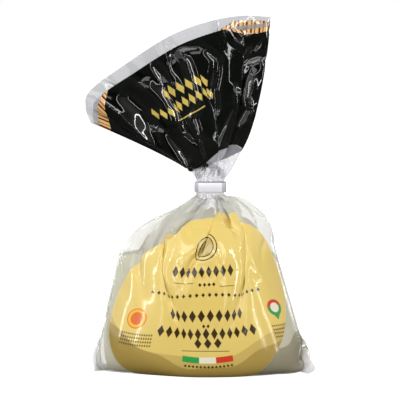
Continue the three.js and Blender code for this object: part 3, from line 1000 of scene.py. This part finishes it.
colour = over(ink, on_back, panel, colour)

# %% Film: the black top, its gold rows and its striped band
BLACK, GOLD = linear("#050804"), linear("#e0b878")
STRIPE_RED, MARK_GOLD = linear("#6a1810"), linear("#c9b25a")
left_dip = between(around, 100, 30) * 32.0
black_from = (-left_dip - between(around, 120, 207) * 22.0 + 251.0) * on_front + on_back * 236.0
black = (up - black_from).edge()
back_middle = between(around, 238, 264).least(between(around, FLAT, 398))
front_ends = between(around, 160, 172).most(between(around, 40, 28)) * on_front
band_high = back_middle * 7.5 + (front_ends + on_back) * 2.4
ends_of_front = (between(around, 44, 28) * 8.0).most(between(around, 158, 172) * 5.4) * on_front
band_low = ends_of_front + (back_middle * 12.5 + 7.0) * on_back
band = (band_low - below_lip).edge().least((below_lip - band_high).edge()) * band_low.edge()
clear_lip = (band_high - below_lip).edge() * (band_high - 0.5).edge()
STRIPE_PITCH = 7.0
stripe_at = around / STRIPE_PITCH - (around / STRIPE_PITCH).math("FLOOR")
stripes = (-abs(stripe_at - 0.35) + 0.12).edge(0.08).most((-abs(stripe_at - 0.78) + 0.06).edge(0.08))
gold_marks = row_of_lozenges(100, 306.3, 6, 7.6, 6.0, 8.4, tilt=-0.12, sag=2.6).most(
    row_of_lozenges(90, 298.2, 10, 6.2, 5.0, 8.0, tilt=-0.125, sag=2.3)
)
gold_marks = gold_marks.most(rule(90, 289.3, 30, 0.8, tilt=-0.14, sag=1.8)).edge() * on_front
colour = over(ink, black, BLACK, colour)
colour = over(ink, gold_marks, MARK_GOLD, colour)
colour = over(ink, band, over(ink, stripes, STRIPE_RED, GOLD), colour)
inked = field.most(back_field).most(black).math("MULTIPLY_ADD", 1.0, 0.0, clamp=True)
inked = inked * (-clear_lip + 1.0)

# %% Film: gloss, crinkle and see-through
# Blown film is glossy, with the IOR of LDPE. Where brine wets it, and where the clip gathers it, its gloss is
# softer. Only the loose film of the shoulders crinkles.
# The clear film's tones are partly painted light and shade. On the sack it is whiter, partly from the mist of
# brine on it and partly as painted light sent back by the milky brine inside. At the neck it is greyer, as
# layered film with painted shade. At the lip it is darker, a painted shade for light from behind that passes
# through with loss.
WET_FILM_AND_PAINTED_LIGHT, LAYERED_FILM_WITH_PAINTED_SHADE = linear("#dcdbd1"), linear("#cfced6")
LIP_FILM_PAINTED_SHADE, EAR_FILM = linear("#9a9ba1"), linear("#e6e3e8")
CLEAR_ALPHA, INK_ALPHA, BLACK_ALPHA = 0.42, 0.96, 0.9995
dry = between(up, 185, 200)
clear_film = over(ink, ear, EAR_FILM, over(ink, clear_lip, LIP_FILM_PAINTED_SHADE, over(ink, dry, LAYERED_FILM_WITH_PAINTED_SHADE, WET_FILM_AND_PAINTED_LIGHT)))
clear_film = over(ink, grey_hill, GREY_HILL, clear_film)
film_colour = over(ink, inked, colour, clear_film)
SOFT_CRINKLE, SHARP_CRINKLE = 14, 11  # their usual size
scaled = {0: flat_map.outputs[0], "Scale": TO_MM}
in_mm = add(ink, "ShaderNodeVectorMath", {"operation": "SCALE"}, scaled).outputs[0]
soft_inputs = {"Vector": in_mm, "Scale": 1 / SOFT_CRINKLE, "Detail": 3.0}
soft_crinkle = add(ink, "ShaderNodeTexNoise", inputs=soft_inputs)
sharp_inputs = {"Vector": in_mm, "Scale": 1 / SHARP_CRINKLE}
sharp_crinkle = add(ink, "ShaderNodeTexVoronoi", {"feature": "F1"}, sharp_inputs)
loose = between(up, 90, 125).least(between(up, 200, 185))
gathered = between(up, 150, 165).least(between(up, 212, 195))
crinkle = Amount(ink, soft_crinkle.outputs[0]) * 1.2 + Amount(ink, sharp_crinkle.outputs["Distance"]) * 0.35
bump = add(ink, "ShaderNodeBump", inputs={"Height": crinkle, "Distance": MM, "Strength": loose * 0.35 + 0.12})
clear_alpha = -dry * 0.06 + clear_lip * 0.14 + ear * 0.52 + grey_hill * 0.2 + CLEAR_ALPHA
clear_alpha = clear_alpha.least(INK_ALPHA)
opaque = clear_alpha + inked * (-clear_alpha + INK_ALPHA)
for name, value in (
    ("Base Color", film_colour),
    ("Alpha", (opaque + black * 0.2).least(BLACK_ALPHA)),
    ("Normal", bump.outputs[0]),
    ("Roughness", between(up, 160, 95) * 0.1 + gathered * 0.25 + 0.045),
):
    value = value.socket if isinstance(value, Amount) else value
    ink.links.new(value, film_surface.inputs[name])
film_surface.inputs["IOR"].default_value = 1.51
film.data.materials.append(film_material)
print("film material:", len(ink.nodes), "nodes")

# %% [markdown]
# ## Brine and ball
# The cheese lies in its own whey brine, cloudy and faintly green. It fills the sack to a level line, so it
# is made from the film itself: the sack's inner side, moved in by a hair, drawn back from the pinched
# corners, which stay empty, and cut off level. The ball is a stretched-curd cheese, heavy and soft, so it
# sits a little flattened on the foot.

# %% Brine inside the film
BRINE_GAP = 0.9
EMPTY_WIDTH, EMPTY_HEIGHT, DRAWN_BACK = 40, 46, 0.2  # an empty corner's reach, and how far it is left


def brine_mesh(film):
    _, outward = surface_directions(film.place)
    outward *= film.outward_sign(surface_directions(film.plain)[1])
    from_side = np.minimum(film.across, 1 - film.across) * FLAT / 2
    in_corner = ease(1 - np.hypot(from_side / EMPTY_WIDTH, film.up / EMPTY_HEIGHT), 0, 0.45)
    inner = film.place - BRINE_GAP * outward
    inner[..., :2] *= (1 - DRAWN_BACK * in_corner)[..., None]
    inner = inner[:, : film.clip_row - 2]
    inner[..., 2] = np.maximum(inner[..., 2], 0.6)
    columns, rows = inner.shape[:2]
    number = np.arange(columns * rows).reshape(columns, rows)
    after = np.roll(number, -1, 0)
    quads = np.stack([number[:, :-1], after[:, :-1], after[:, 1:], number[:, 1:]], -1).reshape(-1, 4)
    mesh = bpy.data.meshes.new("brine")
    mesh.from_pydata((inner.reshape(-1, 3) * MM).tolist(), [], quads.tolist())
    work = bmesh.new()
    work.from_mesh(mesh)
    level = Vector((0, 0, BRINE_LEVEL * MM))
    geometry = work.verts[:] + work.edges[:] + work.faces[:]
    bmesh.ops.bisect_plane(work, geom=geometry, plane_co=level, plane_no=(0, 0, 1), clear_outer=True)
    rim = [e for e in work.edges if e.is_boundary and all(abs(v.co.z - level.z) < 1e-6 for v in e.verts)]
    bmesh.ops.triangle_fill(work, use_beauty=True, edges=rim)
    bmesh.ops.recalc_face_normals(work, faces=work.faces)
    work.to_mesh(mesh)
    work.free()
    mesh.shade_smooth()
    return mesh


brine = linked("brine", brine_mesh(film_sheet))
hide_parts("film_bag")
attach(brine, "root")

# %% Whey: light goes in below its surface and comes back milky
brine_material, brine_tree, brine_surface = new_material("whey_brine")
cloud = add(brine_tree, "ShaderNodeTexNoise", inputs={"Scale": 18.0, "Detail": 2.0})
cloudy = over(brine_tree, cloud.outputs[0], linear("#ccc8a0"), linear("#c3bf94"))
brine_tree.links.new(cloudy, brine_surface.inputs["Base Color"])
brine_surface.inputs["Roughness"].default_value = 0.2
brine_surface.inputs["Subsurface Weight"].default_value = 0.3
brine_surface.inputs["Subsurface Scale"].default_value = 0.01
brine.data.materials.append(brine_material)
print("brine:", len(brine.data.polygons), "faces")

# %% The ball, with its half width, half depth and half height
BALL_CENTRE, BALL_SIZE = (-3, 1, 45.5), (48, 43, 44)


def ball_mesh():
    mesh = bpy.data.meshes.new("mozzarella")
    work = bmesh.new()
    bmesh.ops.create_icosphere(work, subdivisions=5, radius=1)
    for v in work.verts:
        n = v.co.normalized()
        dimple = 0.012 * math.sin(5 * n.x + 2 * n.z) + 0.01 * math.sin(7 * n.y - 4 * n.x + 1)
        sagged = n.z * (1 if n.z > -0.55 else 0.9)
        spot = Vector((n.x, n.y, sagged)) * (1 + dimple)
        v.co = Vector([(c + s * k) * MM for c, s, k in zip(BALL_CENTRE, BALL_SIZE, spot)])
    work.to_mesh(mesh)
    work.free()
    mesh.shade_smooth()
    return mesh


ball = linked("mozzarella_ball", ball_mesh())
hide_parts("film_bag")
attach(ball, "root")
print("ball:", len(ball.data.polygons), "faces")

# %% Stretched curd: a smooth moist skin with fine dimples, and milky below it
curd_material, curd_tree, curd_surface = new_material("stretched_curd")
skin = add(curd_tree, "ShaderNodeTexNoise", inputs={"Scale": 60.0, "Detail": 4.0})
skin_bump = add(curd_tree, "ShaderNodeBump", inputs={"Height": skin.outputs[0], "Distance": 0.0006})
curd_tree.links.new(skin_bump.outputs[0], curd_surface.inputs["Normal"])
curd_surface.inputs["Base Color"].default_value = linear("#f4efe2")
curd_surface.inputs["Roughness"].default_value = 0.35
curd_surface.inputs["Subsurface Weight"].default_value = 0.4
curd_surface.inputs["Subsurface Scale"].default_value = 0.008
ball.data.materials.append(curd_material)

# %% [markdown]
# ## The clip
# A strip of aluminium is bent round the neck and pressed shut. Its form is the imported model's, with the sharp
# edges broken as a press leaves them. Its front face is pale, and its other faces carry a grey painted shade
# for the edges and sides that turn away from the light; that thin grey frame tells the eye the clip is metal.
# Rolling leaves a fine grain along the strip, about 0.4 mm from line to line, too shallow to see except as a
# softer shine.

# %% Clip with broken edges
CLIP_EDGE = 0.4
clip = linked("clip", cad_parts["neck_clip"].data.copy())
clip.data.materials.clear()
work = bmesh.new()
work.from_mesh(clip.data)
bmesh.ops.remove_doubles(work, verts=work.verts, dist=1e-6)
bmesh.ops.dissolve_limit(work, angle_limit=math.radians(1), verts=work.verts, edges=work.edges)
sharp = [e for e in work.edges if len(e.link_faces) == 2 and e.calc_face_angle() > math.radians(40)]
bmesh.ops.bevel(work, geom=sharp, offset=CLIP_EDGE * MM, segments=3, affect="EDGES", profile=0.5)
work.to_mesh(clip.data)
work.free()
clip.data.shade_smooth()
clip.data.set_sharp_from_angle(angle=math.radians(35))
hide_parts("neck_clip")
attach(clip, "root")

# %% Clip: a pale front face, and painted shade on the other faces
GRAIN = (60, 60, 2500)  # lines of the grain to a metre
for name, colour_code, metallic, roughness in (
    ("clip_front_face", "#e6e6eb", 0.2, 0.38),
    ("clip_sides_painted_shade", "#b6b4bd", 0.3, 0.42),
):
    metal_material, metal, metal_surface = new_material(name)
    grain_place = add(metal, "ShaderNodeTexCoord")
    at_object = {0: grain_place.outputs["Object"], 1: GRAIN}
    grain_map = add(metal, "ShaderNodeVectorMath", {"operation": "MULTIPLY"}, at_object).outputs[0]
    grain = add(metal, "ShaderNodeTexNoise", inputs={"Vector": grain_map, "Scale": 1.0, "Detail": 2.0})
    grain_bump = add(metal, "ShaderNodeBump", inputs={"Height": grain.outputs[0], "Distance": 0.00004})
    metal.links.new(grain_bump.outputs[0], metal_surface.inputs["Normal"])
    metal_surface.inputs["Base Color"].default_value = linear(colour_code)
    metal_surface.inputs["Metallic"].default_value = metallic
    metal_surface.inputs["Roughness"].default_value = roughness
    clip.data.materials.append(metal_material)
# The frontmost faces take the pale colour, and all the other faces take the grey one, which is painted shade.
face_front = min(v.co.y for v in clip.data.vertices)
for face in clip.data.polygons:
    face.material_index = int(face.center.y > face_front + 0.05 * MM)
print("clip:", len(clip.data.polygons), "faces, front at", round(face_front / MM, 1), "mm")

# %% [markdown]
# ## Studio
# A white table and white surroundings give the clean look of a catalogue. Film shows itself only by what it
# mirrors. So upright strips, which stand from the table to above the bag, draw the thin bright lines on the
# folds, and two soft boxes in front make the broad pale sheens. The fill boxes light the print evenly and are
# hidden from reflections, or they would turn the black film grey.

# %% Table: a white laminate, dark in reflections so that it doesn't grey the black film
table_mesh = bpy.data.meshes.new("table")
TABLE = 60.0
table_mesh.from_pydata(
    [(-TABLE, -TABLE, 0), (TABLE, -TABLE, 0), (TABLE, TABLE, 0), (-TABLE, TABLE, 0)], [], [(0, 1, 2, 3)]
)
table_top = linked("table", table_mesh)
table_material, table_tree, table_surface = new_material("white_laminate")
rays = add(table_tree, "ShaderNodeLightPath")
laminate = over(table_tree, rays.outputs["Is Glossy Ray"], linear("#1c1c1c"), linear("#8c8c8c"))
table_tree.links.new(laminate, table_surface.inputs["Base Color"])
table_surface.inputs["Roughness"].default_value = 0.6
table_surface.inputs["Emission Color"].default_value = (1, 1, 1, 1)
table_tree.links.new(rays.outputs["Is Camera Ray"], table_surface.inputs["Emission Strength"])
table_mesh.materials.append(table_material)

# %% Surroundings
world = bpy.data.worlds.new("studio")
bpy.context.scene.world = world
world.use_nodes = True
surroundings = world.node_tree
backdrop = surroundings.nodes["Background"]
ray = add(surroundings, "ShaderNodeLightPath")
seen, mirrored = (Amount(surroundings, ray.outputs[name]) for name in ("Is Camera Ray", "Is Glossy Ray"))
direction = add(surroundings, "ShaderNodeTexCoord").outputs["Generated"]
direction_parts = add(surroundings, "ShaderNodeSeparateXYZ", inputs={0: direction})
sideways, upward = (Amount(surroundings, direction_parts.outputs[axis]) for axis in "XZ")
from_sides = between(sideways, -0.05, -0.55) * 1.5 + between(sideways, 0.25, 0.6) * 0.6
mirror_glow = from_sides + between(upward, 0.2, 0.75) * 0.7
strength = mirrored * mirror_glow + seen
surroundings.links.new(strength.socket, backdrop.inputs["Strength"])
backdrop.inputs["Color"].default_value = (1, 1, 1, 1)


# %% Strips and soft boxes: place and size in metres, and power in watts
def soft_box(name, place, size, watts, aim=(0, 0, 0.15), mirrored=True):
    light = bpy.data.lights.new(name, "AREA")
    light.shape, light.size, light.size_y, light.energy = "RECTANGLE", size[0], size[1], watts
    lamp = bpy.data.objects.new(name, light)
    bpy.context.scene.collection.objects.link(lamp)
    lamp.location, lamp.rotation_euler = place, turned_to(place, aim)
    lamp.visible_glossy = mirrored


STRIP_LENGTH, STRIP_MIDDLE = 1.1, 0.57
for name, x, y, width, watts in (
    ("left_key", -0.85, -1.05, 0.032, 3.8),
    ("right_key", 0.8, -1.1, 0.032, 3.8),
    ("right_strip", 1.1, -0.8, 0.035, 3),
    ("left_strip", -1.2, -0.3, 0.035, 3.5),
    ("front_left", -0.42, -1.35, 0.03, 1.3),
    ("front_right", 0.38, -1.35, 0.03, 1.3),
    ("back_left", -0.8, 1.1, 0.06, 6),
    ("back_right", 0.85, 1.05, 0.06, 6),
):
    soft_box(name, (x, y, STRIP_MIDDLE), (width, STRIP_LENGTH), watts)
soft_box("front_box", (-0.1, -1.3, 1.2), (1.0, 0.6), 7.5)
soft_box("front_sheen", (-0.02, -1.4, 0.5), (0.45, 0.3), 1.2)
for name, place, size, watts in (
    ("fill_front", (0.0, -1.7, 1.1), (1.6, 1.2), 6.2),
    ("fill_left", (-1.7, 0.0, 0.8), (1.4, 1.2), 5),
    ("fill_right", (1.7, 0.0, 0.8), (1.4, 1.2), 4),
    ("fill_back", (0.0, 1.7, 0.9), (1.6, 1.2), 9),
    ("top", (0.1, 0.2, 1.5), (1.2, 1.0), 7.2),
):
    soft_box(name, place, size, watts, mirrored=False)
